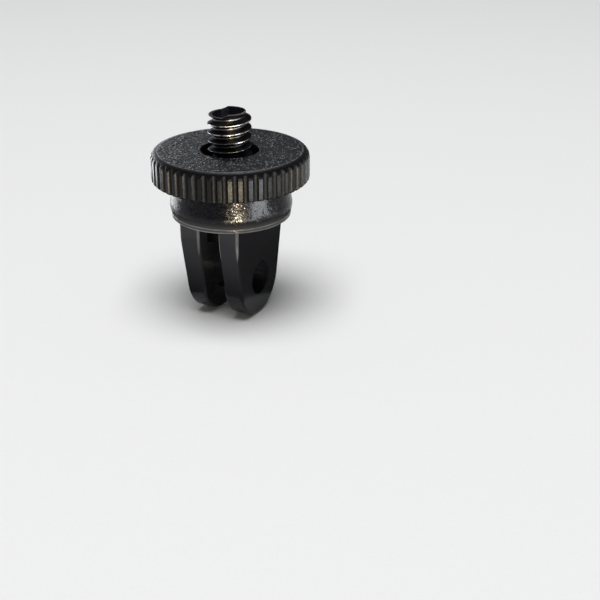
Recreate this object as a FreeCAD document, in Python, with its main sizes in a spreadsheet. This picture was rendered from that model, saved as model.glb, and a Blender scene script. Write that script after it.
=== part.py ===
import FreeCAD, Part
import math
import os
import Sketcher
from FreeCAD import Placement, Rotation, Vector

# An adapter between a tripod threaded camera and a two-prong action camera joint.
#
# A black moulded base carries two flat prongs with a cross bore for the pivot screw. A steel
# stud with a quarter inch camera thread is moulded into its round collar, held by a hex head.
# A fluted lock wheel with a round threaded insert runs up the stud and jams under the camera.
#
# Frame: millimetres, Z up along the stud, X along the pivot screw, and the origin in the middle
# of the pivot bore. The wheel is modelled screwed down to the collar.

SIZES = [
    # camera stud, a quarter inch screw with 20 threads to the inch
    ("stud_diameter", 6.25),
    ("thread_pitch", 1.27),
    ("thread_depth", 0.78),
    ("thread_root_flat", 0.2),
    ("thread_crest_flat", 0.16),
    ("thread_start_gap", 0.2),
    ("thread_start_angle", 149),
    ("stud_tip_chamfer", 0.7),
    ("stud_reach", 5.6),
    ("head_across_flats", 11.1),
    ("head_height", 3.2),
    # moulded base: collar
    ("head_cover", 1.2),
    ("head_floor", 1.0),
    ("collar_top_radius", 8.2),
    ("collar_top_round", 0.4),
    ("belly_swell", 0.75),
    ("belly_rise", 1.5),
    ("belly_round", 2.8),
    ("lip_inset", 0.3),
    ("lip_height", 0.5),
    ("lip_step", 0.05),
    # moulded base: prongs, web and pivot bore
    ("pivot_bore_radius", 2.55),
    ("prong_width", 14.0),
    ("prong_straight", 2.6),
    ("prong_end_inset", 1.3),
    ("prong_bend_radius", 8.0),
    ("prong_root_thickness", 3.2),
    ("prong_draft_angle", 1.1),
    ("prong_edge_round", 0.45),
    ("slot_width", 3.15),
    ("slot_root_radius", 7.75),
    ("web_thickness", 1.65),
    ("web_inset", 2.4),
    # lock wheel
    ("wheel_radius", 11.35),
    ("wheel_thickness", 4.2),
    ("wheel_edge_round", 1.05),
    ("wheel_bottom_chamfer", 0.2),
    ("wheel_seat_gap", 0.05),
    ("counterbore_radius", 4.2),
    ("counterbore_depth", 1.8),
    ("counterbore_chamfer", 0.15),
    ("flute_count", 50),
    ("flute_radius", 0.42),
    ("flute_depth", 0.33),
    # threaded insert in the wheel
    ("insert_radius", 4.9),
    ("insert_recess", 0.1),
    ("insert_chamfer", 0.3),
    ("insert_fit", 0.03),
    ("bore_fit", 0.06),
]

# levels and radii that several pieces share, as expressions on the sheet
COLLAR_BOTTOM = "(Sizes.slot_root_radius + Sizes.web_thickness)"
HEAD_BOTTOM = f"({COLLAR_BOTTOM} + Sizes.head_floor)"
HEAD_TOP = f"({HEAD_BOTTOM} + Sizes.head_height)"
COLLAR_TOP = f"({HEAD_TOP} + Sizes.head_cover)"
WHEEL_BOTTOM = f"({COLLAR_TOP} + Sizes.wheel_seat_gap)"
WHEEL_TOP = f"({WHEEL_BOTTOM} + Sizes.wheel_thickness)"
STUD_TIP = f"({WHEEL_TOP} + Sizes.stud_reach)"
INSERT_TOP = f"({WHEEL_TOP} - Sizes.counterbore_depth)"
INSERT_BOTTOM = f"({WHEEL_BOTTOM} + Sizes.insert_recess)"
STUD_RADIUS = "(Sizes.stud_diameter / 2)"
BORE_RADIUS = f"({STUD_RADIUS} + Sizes.bore_fit)"
BELLY_RADIUS = "(Sizes.collar_top_radius + Sizes.belly_swell)"
LIP_RADIUS = f"({BELLY_RADIUS} - Sizes.lip_inset)"
HALF_PRONG = "(Sizes.prong_width / 2)"
END_RADIUS = f"({HALF_PRONG} - Sizes.prong_end_inset)"
HALF_WEB = f"({HALF_PRONG} - Sizes.web_inset)"

# the prongs are rooted this high in the collar, within its lip
ROOT_TOP = f"({COLLAR_BOTTOM} + Sizes.lip_height / 2)"

# how far a cutter reaches past the solid that it cuts
CLEAR = 2.0

# the largest belly rounding, as a share of the wall's height under it
BELLY_LIMIT = 3.2

doc = FreeCAD.newDocument("camera_adapter")


def make_sheet():
    """Write the driving dimensions, one aliased cell each."""
    sheet = doc.addObject("Spreadsheet::Sheet", "Sizes")
    for row, (alias, size) in enumerate(SIZES, start=1):
        sheet.set(f"A{row}", alias)
        sheet.set(f"B{row}", str(size))
        sheet.setAlias(f"B{row}", alias)
    doc.recompute()
    return sheet


def value(expression):
    """The present value of an expression on the sheet."""
    return float(sheet.evalExpression(str(expression).replace("Sizes.", "")))


def new_body(name):
    """A PartDesign body whose label names its file."""
    body = doc.addObject("PartDesign::Body", name)
    body.Label = name
    body.Placement = Placement(Vector(0, 0, 0), Rotation())
    return body


def new_sketch(body, name, role, level=None):
    """A sketch on one of the body's own origin planes, lifted to a level if one is given."""
    sketch = body.newObject("Sketcher::SketchObject", name)
    plane = next(item for item in body.Origin.OriginFeatures if item.Role == role)
    sketch.AttachmentSupport = [(plane, "")]
    sketch.MapMode = "FlatFace"
    if level is not None:
        sketch.setExpression("AttachmentOffset.Base.z", f"({level}) * 1 mm")
    return sketch


def pin_point(sketch, geometry, position, across, up):
    """Hold a sketch point at two expressions, measured from the sketch's origin."""
    origin = (-1, 1)
    point = (geometry, position)
    for kind, expression, axis in (("DistanceX", across, -2), ("DistanceY", up, -1)):
        size = value(expression)
        if abs(size) < 1e-9:
            sketch.addConstraint(Sketcher.Constraint("PointOnObject", *point, axis))
            continue
        pair = origin + point if size > 0 else point + origin
        index = sketch.addConstraint(Sketcher.Constraint(kind, *pair, abs(size)))
        sign = "" if size > 0 else "-"
        sketch.setExpression(f"Constraints[{index}]", f"{sign}({expression}) * 1 mm")


def draw_polygon(sketch, corners):
    """A closed run of straight lines through corners given as pairs of expressions."""
    points = [Vector(value(across), value(up), 0) for across, up in corners]
    lines = []
    for start, end in zip(points, points[1:] + points[:1]):
        lines.append(sketch.addGeometry(Part.LineSegment(start, end), False))
    for line, following in zip(lines, lines[1:] + lines[:1]):
        sketch.addConstraint(Sketcher.Constraint("Coincident", line, 2, following, 1))
    for line, (across, up) in zip(lines, corners):
        pin_point(sketch, line, 1, across, up)


def draw_circle(sketch, across, up, radius):
    """A circle with its centre and radius bound to expressions."""
    centre = Vector(value(across), value(up), 0)
    circle = sketch.addGeometry(Part.Circle(centre, Vector(0, 0, 1), value(radius)), False)
    pin_point(sketch, circle, 3, across, up)
    index = sketch.addConstraint(Sketcher.Constraint("Radius", circle, value(radius)))
    sketch.setExpression(f"Constraints[{index}]", f"({radius}) * 1 mm")


def draw_hexagon(sketch, across_flats):
    """A hexagon about the sketch's origin with two of its flats square to the sketch's X axis."""
    half = f"({across_flats} / 2)"
    corner = f"({across_flats} / 2 * tan(30 deg))"
    point = f"({across_flats} / 2 / cos(30 deg))"
    draw_polygon(sketch, [
        (half, f"-{corner}"),
        (half, corner),
        ("0", point),
        (f"-{half}", corner),
        (f"-{half}", f"-{corner}"),
        ("0", f"-{point}"),
    ])


def bind(feature, name, expression):
    """Bind one length of a feature to an expression on the sheet."""
    feature.setExpression(name, f"({expression}) * 1 mm")


def add_feature(body, kind, name, profile):
    """A new PartDesign feature that works on a profile sketch."""
    feature = body.newObject(kind, name)
    feature.Profile = (profile, [""])
    return feature


def revolve(body, name, sketch):
    """Turn a half section about the vertical axis."""
    feature = add_feature(body, "PartDesign::Revolution", name, sketch)
    feature.ReferenceAxis = (sketch, ["V_Axis"])
    feature.Angle = 360
    doc.recompute()
    return feature


def pad(body, name, sketch, length, symmetric=False):
    """Add material along the sketch's normal, on one side or half to each side."""
    feature = add_feature(body, "PartDesign::Pad", name, sketch)
    feature.SideType = "Symmetric" if symmetric else "One side"
    bind(feature, "Length", length)
    doc.recompute()
    return feature


def pocket(body, name, sketch, length, symmetric=False):
    """Cut against the sketch's normal, or half to each side, and make sure that it cuts."""
    before = body.Shape.Volume
    feature = add_feature(body, "PartDesign::Pocket", name, sketch)
    feature.SideType = "Symmetric" if symmetric else "One side"
    bind(feature, "Length", length)
    doc.recompute()
    if not body.Shape.Volume < before:
        raise RuntimeError(f"{name} removed nothing")
    return feature


def edge_names(shape, wanted):
    """Names of the edges for which wanted(edge) is true."""
    return [f"Edge{number}" for number, edge in enumerate(shape.Edges, start=1) if wanted(edge)]


def ring_at(radius, level):
    """A test for round edges about the vertical axis at a radius and a level."""
    def test(edge):
        curve = edge.Curve
        if not isinstance(curve, Part.Circle) or abs(curve.Axis.z) < 0.99:
            return False
        on_axis = math.hypot(curve.Center.x, curve.Center.y) < 1e-4
        return on_axis and abs(curve.Radius - radius) < 1e-4 and abs(curve.Center.z - level) < 1e-4
    return test


def dress_edges(body, kind, name, tip, wanted, size):
    """Round or chamfer the edges of the tip feature that pass a test."""
    names = edge_names(tip.Shape, wanted)
    if not names:
        raise RuntimeError(f"{name} found no edges")
    feature = body.newObject(kind, name)
    feature.Base = (tip, names)
    bind(feature, "Radius" if kind == "PartDesign::Fillet" else "Size", size)
    doc.recompute()
    return feature


def make_collar(body):
    """The round collar over the prongs, a half section turned about the stud's axis."""
    belly = f"({COLLAR_BOTTOM} + Sizes.belly_rise)"
    lip_top = f"({COLLAR_BOTTOM} + Sizes.lip_height)"
    step = f"({LIP_RADIUS} - Sizes.lip_step)"
    section = new_sketch(body, "collar_section", "XZ_Plane")
    draw_polygon(section, [
        ("0", COLLAR_BOTTOM),
        (LIP_RADIUS, COLLAR_BOTTOM),
        (LIP_RADIUS, lip_top),
        (step, lip_top),
        (BELLY_RADIUS, belly),
        ("Sizes.collar_top_radius", COLLAR_TOP),
        ("0", COLLAR_TOP),
    ])
    collar = revolve(body, "collar", section)
    top_edge = ring_at(value("Sizes.collar_top_radius"), value(COLLAR_TOP))
    collar = dress_edges(body, "PartDesign::Fillet", "collar_top_rounding", collar, top_edge,
                         "Sizes.collar_top_round")
    # the belly's rounding is limited by the short wall between it and the lip
    belly_edge = ring_at(value(BELLY_RADIUS), value(belly))
    dress_edges(body, "PartDesign::Fillet", "belly_rounding", collar, belly_edge,
                f"min(Sizes.belly_round; {BELLY_LIMIT} * (Sizes.belly_rise - Sizes.lip_height))")


def draw_tongue(sketch):
    """Side outline of the prongs: straight under the collar, then tapered to a round end."""
    half = value(HALF_PRONG)
    top = value(ROOT_TOP)
    bend = value(f"{COLLAR_BOTTOM} - Sizes.prong_straight")
    radius = value(END_RADIUS)
    # the tapered side touches the end circle: its normal's angle above the horizontal
    reach = math.hypot(half, bend)
    lean = math.atan2(bend, half) - math.acos(radius / reach)
    touch = Vector(radius * math.cos(lean), radius * math.sin(lean), 0)
    mirrored = Vector(-touch.x, touch.y, 0)
    right_top, right_bend = Vector(half, top, 0), Vector(half, bend, 0)
    left_top, left_bend = Vector(-half, top, 0), Vector(-half, bend, 0)
    runs = [(left_top, right_top), (right_top, right_bend), (right_bend, touch),
            (mirrored, left_bend), (left_bend, left_top)]
    lines = [sketch.addGeometry(Part.LineSegment(*run), False) for run in runs]
    head, right_side, right_taper, left_taper, left_side = lines
    circle = Part.Circle(Vector(0, 0, 0), Vector(0, 0, 1), radius)
    end = sketch.addGeometry(Part.ArcOfCircle(circle, math.pi - lean, 2 * math.pi + lean), False)
    constrain = sketch.addConstraint
    for first, second in ((head, right_side), (right_side, right_taper),
                          (left_taper, left_side), (left_side, head)):
        constrain(Sketcher.Constraint("Coincident", first, 2, second, 1))
    constrain(Sketcher.Constraint("Coincident", end, 3, -1, 1))
    constrain(Sketcher.Constraint("Tangent", right_taper, 2, end, 2))
    constrain(Sketcher.Constraint("Tangent", left_taper, 1, end, 1))
    pin_point(sketch, head, 1, f"-{HALF_PRONG}", ROOT_TOP)
    pin_point(sketch, head, 2, HALF_PRONG, ROOT_TOP)
    bend_level = f"({COLLAR_BOTTOM} - Sizes.prong_straight)"
    pin_point(sketch, right_side, 2, HALF_PRONG, bend_level)
    pin_point(sketch, left_side, 1, f"-{HALF_PRONG}", bend_level)
    index = constrain(Sketcher.Constraint("Radius", end, radius))
    sketch.setExpression(f"Constraints[{index}]", f"({END_RADIUS}) * 1 mm")


def draw_slot(sketch):
    """Side outline of what the slot removes: all but the web, whose underside is an arc."""
    reach = f"(Sizes.prong_width + {CLEAR})"
    half_web = value(HALF_WEB)
    radius = value("Sizes.slot_root_radius")
    spring = math.sqrt(radius ** 2 - half_web ** 2)
    low = f"-({END_RADIUS} + {CLEAR})"
    top = value(COLLAR_BOTTOM)
    wide, floor = value(reach), value(low)
    corners = [Vector(-half_web, spring, 0), Vector(-half_web, top, 0), Vector(-wide, top, 0),
               Vector(-wide, floor, 0), Vector(wide, floor, 0), Vector(wide, top, 0),
               Vector(half_web, top, 0), Vector(half_web, spring, 0)]
    lines = [sketch.addGeometry(Part.LineSegment(start, end), False)
             for start, end in zip(corners, corners[1:])]
    start = math.atan2(spring, half_web)
    circle = Part.Circle(Vector(0, 0, 0), Vector(0, 0, 1), radius)
    arc = sketch.addGeometry(Part.ArcOfCircle(circle, start, math.pi - start), False)
    constrain = sketch.addConstraint
    for first, second in zip(lines, lines[1:]):
        constrain(Sketcher.Constraint("Coincident", first, 2, second, 1))
    constrain(Sketcher.Constraint("Coincident", lines[-1], 2, arc, 1))
    constrain(Sketcher.Constraint("Coincident", arc, 2, lines[0], 1))
    constrain(Sketcher.Constraint("Coincident", arc, 3, -1, 1))
    index = constrain(Sketcher.Constraint("Radius", arc, radius))
    sketch.setExpression(f"Constraints[{index}]", "Sizes.slot_root_radius * 1 mm")
    constrain(Sketcher.Constraint("Vertical", lines[0]))
    constrain(Sketcher.Constraint("Vertical", lines[-1]))
    pin_point(sketch, lines[1], 1, f"-{HALF_WEB}", COLLAR_BOTTOM)
    pin_point(sketch, lines[2], 1, f"-{reach}", COLLAR_BOTTOM)
    pin_point(sketch, lines[3], 1, f"-{reach}", low)
    pin_point(sketch, lines[4], 1, reach, low)
    pin_point(sketch, lines[5], 1, reach, COLLAR_BOTTOM)
    pin_point(sketch, lines[6], 1, HALF_WEB, COLLAR_BOTTOM)


def make_prongs(body):
    """Two prongs and the web between them, rooted where the collar will be."""
    root_half = "(Sizes.slot_width / 2 + Sizes.prong_root_thickness)"
    low = f"-({END_RADIUS} + {CLEAR})"
    lean = f"(({ROOT_TOP} - {low}) * tan(Sizes.prong_draft_angle * 1 deg))"

    tongue_outline = new_sketch(body, "tongue_outline", "YZ_Plane")
    draw_tongue(tongue_outline)
    tongue = pad(body, "tongue", tongue_outline, f"2 * {root_half}", symmetric=True)

    half_width = value(HALF_PRONG)
    bend_level = value(f"{COLLAR_BOTTOM} - Sizes.prong_straight")

    def is_bend(edge):
        middle = edge.CenterOfMass
        at_side = abs(abs(middle.y) - half_width) < 1e-4
        return at_side and abs(middle.z - bend_level) < 1e-4 and abs(middle.x) < 1e-4
    dress_edges(body, "PartDesign::Fillet", "prong_bend", tongue, is_bend,
                "Sizes.prong_bend_radius")

    slot_outline = new_sketch(body, "slot_outline", "YZ_Plane")
    draw_slot(slot_outline)
    pocket(body, "slot", slot_outline, "Sizes.slot_width", symmetric=True)

    # the outer faces lean inwards from the collar to the ends, the mould's draft
    draft_outline = new_sketch(body, "draft_outline", "XZ_Plane")
    for side in ("", "-"):
        draw_polygon(draft_outline, [
            (f"{side}{root_half}", ROOT_TOP),
            (f"{side}({root_half} - {lean})", low),
            (f"{side}({root_half} + {CLEAR})", low),
            (f"{side}({root_half} + {CLEAR})", ROOT_TOP),
        ])
    pocket(body, "draft", draft_outline, f"Sizes.prong_width + {CLEAR}", symmetric=True)

    bore_outline = new_sketch(body, "pivot_bore_outline", "YZ_Plane")
    draw_circle(bore_outline, "0", "0", "Sizes.pivot_bore_radius")
    bored = pocket(body, "pivot_bore", bore_outline, f"2 * {root_half} + {CLEAR}", symmetric=True)

    bore_radius = value("Sizes.pivot_bore_radius")

    def is_outline_edge(edge):
        box = edge.BoundBox
        flat = box.XLength < 0.2 * (box.YLength + box.ZLength)
        upright_or_round = box.ZLength > value("Sizes.prong_edge_round")
        at_bore = max(abs(box.YMin), abs(box.YMax), abs(box.ZMin), abs(box.ZMax)) < bore_radius + 0.01
        at_web = abs(abs(edge.CenterOfMass.y) - value(HALF_WEB)) < 0.01
        root_arc = isinstance(edge.Curve, Part.Circle) and (
            abs(edge.Curve.Radius - value("Sizes.slot_root_radius")) < 1e-4)
        return flat and upright_or_round and not (at_bore or at_web or root_arc)
    dress_edges(body, "PartDesign::Fillet", "prong_edge_rounding", bored, is_outline_edge,
                "Sizes.prong_edge_round")


def make_stud_seat(body):
    """The space that the stud's shank and hex head fill in the collar."""
    shank_outline = new_sketch(body, "shank_seat_outline", "XY_Plane", COLLAR_TOP)
    draw_circle(shank_outline, "0", "0", STUD_RADIUS)
    pocket(body, "shank_seat", shank_outline, "Sizes.head_cover")
    head_outline = new_sketch(body, "head_seat_outline", "XY_Plane", HEAD_TOP)
    draw_hexagon(head_outline, "Sizes.head_across_flats")
    pocket(body, "head_seat", head_outline, "Sizes.head_height")


def make_mount_base():
    """The moulded base: collar, web and two prongs in one piece."""
    body = new_body("mount_base")
    make_prongs(body)
    make_collar(body)
    make_stud_seat(body)
    return body


def make_camera_stud():
    """The steel stud with its hex head in the collar and the thread that is in the open."""
    body = new_body("camera_stud")
    head_outline = new_sketch(body, "head_outline", "XY_Plane", HEAD_BOTTOM)
    draw_hexagon(head_outline, "Sizes.head_across_flats")
    pad(body, "hex_head", head_outline, "Sizes.head_height")
    shank_outline = new_sketch(body, "shank_outline", "XY_Plane", HEAD_TOP)
    draw_circle(shank_outline, "0", "0", STUD_RADIUS)
    shank = pad(body, "shank", shank_outline, f"{STUD_TIP} - {HEAD_TOP}")
    tip_edge = ring_at(value(STUD_RADIUS), value(STUD_TIP))
    dress_edges(body, "PartDesign::Chamfer", "tip_chamfer", shank, tip_edge,
                "Sizes.stud_tip_chamfer")

    # the groove is a trapezium between the crests, with straight sides outside the stud
    half_mouth = "((Sizes.thread_pitch - Sizes.thread_crest_flat) / 2)"
    centre = f"({COLLAR_TOP} + Sizes.thread_start_gap + {half_mouth})"
    half_root = "(Sizes.thread_root_flat / 2)"
    root_radius = f"({STUD_RADIUS} - Sizes.thread_depth)"
    outside = f"({STUD_RADIUS} + Sizes.thread_depth / 2)"
    groove = new_sketch(body, "thread_groove_section", "XZ_Plane")
    turn = Rotation(Vector(0, 1, 0), value("Sizes.thread_start_angle"))
    groove.AttachmentOffset = Placement(Vector(0, 0, 0), turn)
    groove.setExpression("AttachmentOffset.Rotation.Angle", "Sizes.thread_start_angle * 1 deg")
    draw_polygon(groove, [
        (root_radius, f"{centre} - {half_root}"),
        (STUD_RADIUS, f"{centre} - {half_mouth}"),
        (outside, f"{centre} - {half_mouth}"),
        (outside, f"{centre} + {half_mouth}"),
        (STUD_RADIUS, f"{centre} + {half_mouth}"),
        (root_radius, f"{centre} + {half_root}"),
    ])
    before = body.Shape.Volume
    thread = add_feature(body, "PartDesign::SubtractiveHelix", "thread", groove)
    thread.ReferenceAxis = (groove, ["V_Axis"])
    thread.Mode = "pitch-height-angle"
    thread.Angle = 0
    thread.LeftHanded = False
    bind(thread, "Pitch", "Sizes.thread_pitch")
    bind(thread, "Height", f"({STUD_TIP} + Sizes.thread_pitch - {centre})")
    doc.recompute()
    if not body.Shape.Volume < before:
        raise RuntimeError("thread removed nothing")
    return body


def make_lock_wheel():
    """The fluted wheel, with a counterbore round the stud and a seat for its insert."""
    body = new_body("lock_wheel")
    seat_radius = "(Sizes.insert_radius + Sizes.insert_fit)"
    section = new_sketch(body, "wheel_section", "XZ_Plane")
    draw_polygon(section, [
        (seat_radius, WHEEL_BOTTOM),
        ("Sizes.wheel_radius", WHEEL_BOTTOM),
        ("Sizes.wheel_radius", WHEEL_TOP),
        ("Sizes.counterbore_radius", WHEEL_TOP),
        ("Sizes.counterbore_radius", INSERT_TOP),
        (seat_radius, INSERT_TOP),
    ])
    wheel = revolve(body, "wheel_disc", section)
    rim_top = ring_at(value("Sizes.wheel_radius"), value(WHEEL_TOP))
    wheel = dress_edges(body, "PartDesign::Fillet", "rim_rounding", wheel, rim_top,
                        "Sizes.wheel_edge_round")
    rim_bottom = ring_at(value("Sizes.wheel_radius"), value(WHEEL_BOTTOM))
    wheel = dress_edges(body, "PartDesign::Chamfer", "rim_chamfer", wheel, rim_bottom,
                        "Sizes.wheel_bottom_chamfer")
    mouth = ring_at(value("Sizes.counterbore_radius"), value(WHEEL_TOP))
    dress_edges(body, "PartDesign::Chamfer", "counterbore_mouth", wheel, mouth,
                "Sizes.counterbore_chamfer")

    flute_outline = new_sketch(body, "flute_outline", "XY_Plane", WHEEL_TOP)
    flute_centre = "(Sizes.wheel_radius + Sizes.flute_radius - Sizes.flute_depth)"
    draw_circle(flute_outline, flute_centre, "0", "Sizes.flute_radius")
    flute = pocket(body, "flute", flute_outline, "Sizes.wheel_thickness")
    single = body.Shape.Volume
    flutes = body.newObject("PartDesign::PolarPattern", "flutes")
    flutes.Originals = [flute]
    flutes.Axis = (flute_outline, ["N_Axis"])
    flutes.Angle = 360
    flutes.setExpression("Occurrences", "Sizes.flute_count")
    body.Tip = flutes
    doc.recompute()
    if not body.Shape.Volume < single:
        raise RuntimeError("flutes removed nothing")
    return body


def make_wheel_insert():
    """The round threaded insert in the wheel, its bore left plain at the thread's crests."""
    body = new_body("wheel_insert")
    section = new_sketch(body, "insert_section", "XZ_Plane")
    mouth = f"({BORE_RADIUS} + Sizes.insert_chamfer)"
    draw_polygon(section, [
        (mouth, INSERT_BOTTOM),
        ("Sizes.insert_radius", INSERT_BOTTOM),
        ("Sizes.insert_radius", f"({INSERT_TOP} - Sizes.insert_fit)"),
        (mouth, f"({INSERT_TOP} - Sizes.insert_fit)"),
        (BORE_RADIUS, f"({INSERT_TOP} - Sizes.insert_fit - Sizes.insert_chamfer)"),
        (BORE_RADIUS, f"({INSERT_BOTTOM} + Sizes.insert_chamfer)"),
    ])
    revolve(body, "insert_ring", section)
    return body


def check_and_write(bodies):
    """Refuse a failed object or a bad shape, then write one file for each body."""
    doc.recompute()
    for item in doc.Objects:
        if "Invalid" in item.State or "Error" in item.State:
            raise RuntimeError(f"{item.Name} failed: {item.State}")
    for body in bodies:
        shape = body.Shape
        if shape.isNull() or not shape.isValid() or not shape.Solids:
            raise RuntimeError(f"{body.Label} has a bad shape")
        print(f"{body.Label}: {len(shape.Solids)} solid, {shape.Volume:.2f} cubic mm")
    os.makedirs("parts", exist_ok=True)
    for body in bodies:
        body.Shape.exportStep(f"parts/{body.Label}.step")


sheet = make_sheet()
check_and_write([
    make_mount_base(),
    make_camera_stud(),
    make_lock_wheel(),
    make_wheel_insert(),
])
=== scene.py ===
# %% [markdown]
# # An adapter from an action camera joint to a camera screw
#
# The real thing is 30 mm tall and almost all black: a glossy moulded base with two prongs, a
# steel stud with a quarter inch thread, and a fluted lock wheel with a brass insert. A black
# object has hardly any colour of its own, so this lesson is mostly about true edges, small
# textures and what the surfaces reflect.
#
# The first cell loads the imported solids. They stay where they are, and every new piece is built
# in the same frame, in metres, with Z up along the stud and X along the pivot screw.

# %% Load the frame
import math

import bmesh
import bpy
from mathutils import Matrix, Vector


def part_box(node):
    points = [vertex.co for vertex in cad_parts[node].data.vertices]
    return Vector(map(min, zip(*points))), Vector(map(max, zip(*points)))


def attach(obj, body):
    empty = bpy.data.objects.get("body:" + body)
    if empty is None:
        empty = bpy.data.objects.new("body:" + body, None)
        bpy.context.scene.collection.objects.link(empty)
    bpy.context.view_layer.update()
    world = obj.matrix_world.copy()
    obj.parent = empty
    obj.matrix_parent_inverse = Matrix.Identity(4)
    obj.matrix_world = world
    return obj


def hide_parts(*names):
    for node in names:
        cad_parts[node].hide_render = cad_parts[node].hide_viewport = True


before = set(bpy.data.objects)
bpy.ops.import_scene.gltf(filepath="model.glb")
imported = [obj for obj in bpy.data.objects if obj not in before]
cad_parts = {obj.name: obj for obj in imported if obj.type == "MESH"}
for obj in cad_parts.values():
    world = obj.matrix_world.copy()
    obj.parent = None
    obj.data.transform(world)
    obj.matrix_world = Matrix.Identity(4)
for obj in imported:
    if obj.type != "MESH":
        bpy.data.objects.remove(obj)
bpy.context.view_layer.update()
scene = bpy.context.scene
MM = 0.001
print("solids:", sorted(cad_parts))

# %% [markdown]
# ## Where the pieces sit
#
# The boxes of the solids give the levels that the new pieces have to meet, so that nothing has
# to be fitted by eye. The other sizes repeat those of the solids, in millimetres.

# %% Read the levels
wheel_low, wheel_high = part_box("lock_wheel")
stud_low, stud_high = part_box("camera_stud")
base_low, base_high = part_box("mount_base")

WHEEL_BOTTOM = wheel_low.z / MM
WHEEL_TOP = wheel_high.z / MM
STUD_TIP = stud_high.z / MM
HEAD_BOTTOM = stud_low.z / MM
COLLAR_TOP = base_high.z / MM
PRONG_END = base_low.z / MM
print(f"collar top {COLLAR_TOP:.2f}, wheel {WHEEL_BOTTOM:.2f} to {WHEEL_TOP:.2f}, tip {STUD_TIP:.2f}")

# %% [markdown]
# ## Helpers for turned pieces
#
# Most of this object is round, as if it came off a lathe. A lathe part is easiest to describe by
# half of its section, so the first helper takes corners as (radius, height, rounding) and gives
# the outline with its corners rounded.

# %% Round the corners of an outline
ARC_STEPS = 6


def rounded_outline(corners, closed=True, steps=ARC_STEPS):
    """Points of an outline whose corners (across, up, radius) are replaced by arcs."""
    points = []
    count = len(corners)
    for index, (across, up, radius) in enumerate(corners):
        here = Vector((across, up))
        inner = closed or 0 < index < count - 1
        if not radius or not inner:
            points.append(here)
            continue
        before = (Vector(corners[index - 1][:2]) - here).normalized()
        after = (Vector(corners[(index + 1) % count][:2]) - here).normalized()
        half = before.angle(after) / 2
        centre = here + (before + after).normalized() * (radius / math.sin(half))
        start = here + before * (radius / math.tan(half)) - centre
        end = here + after * (radius / math.tan(half)) - centre
        swing = start.angle_signed(end)
        for step in range(steps + 1):
            turn = Matrix.Rotation(-swing * step / steps, 2)
            points.append(centre + turn @ start)
    return points


# %% [markdown]
# The next helper spins an outline about the Z axis. Typing in rings of vertices would work as
# well, but a spin keeps the rings even and closes the turn. One sector is spun in fine steps and
# then copied round, so that every flute of a fluted piece gets the very same vertices.

# %% Spin an outline about the stud's axis
WELD = 0.0005


def wire(bm, points, closed=True):
    """A chain of edges through points given as (across, up) in mm, in the XZ plane."""
    verts = [bm.verts.new((point[0] * MM, 0, point[1] * MM)) for point in points]
    pairs = list(zip(verts, verts[1:]))
    if closed:
        pairs.append((verts[-1], verts[0]))
    edges = [bm.edges.new(pair) for pair in pairs]
    return verts + edges


def whole(bm):
    """Everything in a bmesh, as one list."""
    return bm.verts[:] + bm.edges[:] + bm.faces[:]


def spin_outline(bm, points, sectors, steps, closed=True):
    """Turn the outline once round the Z axis: one sector is spun and then copied round."""
    sector = 2 * math.pi / sectors
    bmesh.ops.spin(bm, geom=wire(bm, points, closed), cent=(0, 0, 0), axis=(0, 0, 1),
                   dvec=(0, 0, 0), angle=sector, steps=steps, use_merge=False)
    bmesh.ops.spin(bm, geom=whole(bm), cent=(0, 0, 0), axis=(0, 0, 1), dvec=(0, 0, 0),
                   angle=2 * math.pi - sector, steps=sectors - 1, use_merge=False,
                   use_duplicate=True)
    bmesh.ops.remove_doubles(bm, verts=bm.verts, dist=WELD * MM)
    bmesh.ops.recalc_face_normals(bm, faces=bm.faces)


# %% [markdown]
# The operators of bmesh hand back vertices, edges and faces in one list. Two small helpers pick
# out one kind. A third extrudes a flat shape, whose far side can then be moved.

# %% Pick vertices and edges, and extrude a flat shape
def verts_of(items):
    """The vertices in a list of mesh elements."""
    return [item for item in items if isinstance(item, bmesh.types.BMVert)]


def edges_of(items):
    """The edges in a list of mesh elements."""
    return [item for item in items if isinstance(item, bmesh.types.BMEdge)]


def extrude_flat(bm):
    """Extrude every face, and give the vertices of the new side, which haven't moved yet."""
    return verts_of(bmesh.ops.extrude_face_region(bm, geom=bm.faces[:])["geom"])


# %% [markdown]
# ## From a bmesh to a piece
#
# Flat faces should stay flat and round ones should shade smoothly, so the faces are set smooth
# and the edges that turn by more than a given angle are marked sharp.

# %% Make a piece from a bmesh
SHARP_ANGLE = math.radians(32)


def make_piece(name, bm, sharp=SHARP_ANGLE):
    """A new object at the origin from a bmesh, smooth but for its sharp edges."""
    mesh = bpy.data.meshes.new(name)
    bm.to_mesh(mesh)
    bm.free()
    for face in mesh.polygons:
        face.use_smooth = True
    mesh.set_sharp_from_angle(angle=sharp)
    piece = bpy.data.objects.new(name, mesh)
    scene.collection.objects.link(piece)
    return piece


def report(piece):
    """Print the size of a piece and its number of triangles."""
    mesh = piece.data
    mesh.calc_loop_triangles()
    size = [round(side / MM, 2) for side in piece.dimensions]
    print(f"{piece.name}: {size} mm, {len(mesh.loop_triangles)} triangles")


# %% [markdown]
# ## The lock wheel
#
# The wheel is a thick moulded disc. Its top edge is rounded and smooth, its side has fifty
# shallow flutes for the fingers, and a counterbore runs round the stud. The section below is one
# half of the disc without its flutes.

# %% The wheel's section
WHEEL_RADIUS = 11.35
RIM_ROUND = 1.05
BOTTOM_CHAMFER, CHAMFER_ROUND = 0.2, 0.06
SEAT_RADIUS = 4.93
COUNTERBORE_RADIUS, COUNTERBORE_ROUND = 4.2, 0.16
COUNTERBORE_DEPTH = 1.8
INSERT_TOP = WHEEL_TOP - COUNTERBORE_DEPTH

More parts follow.
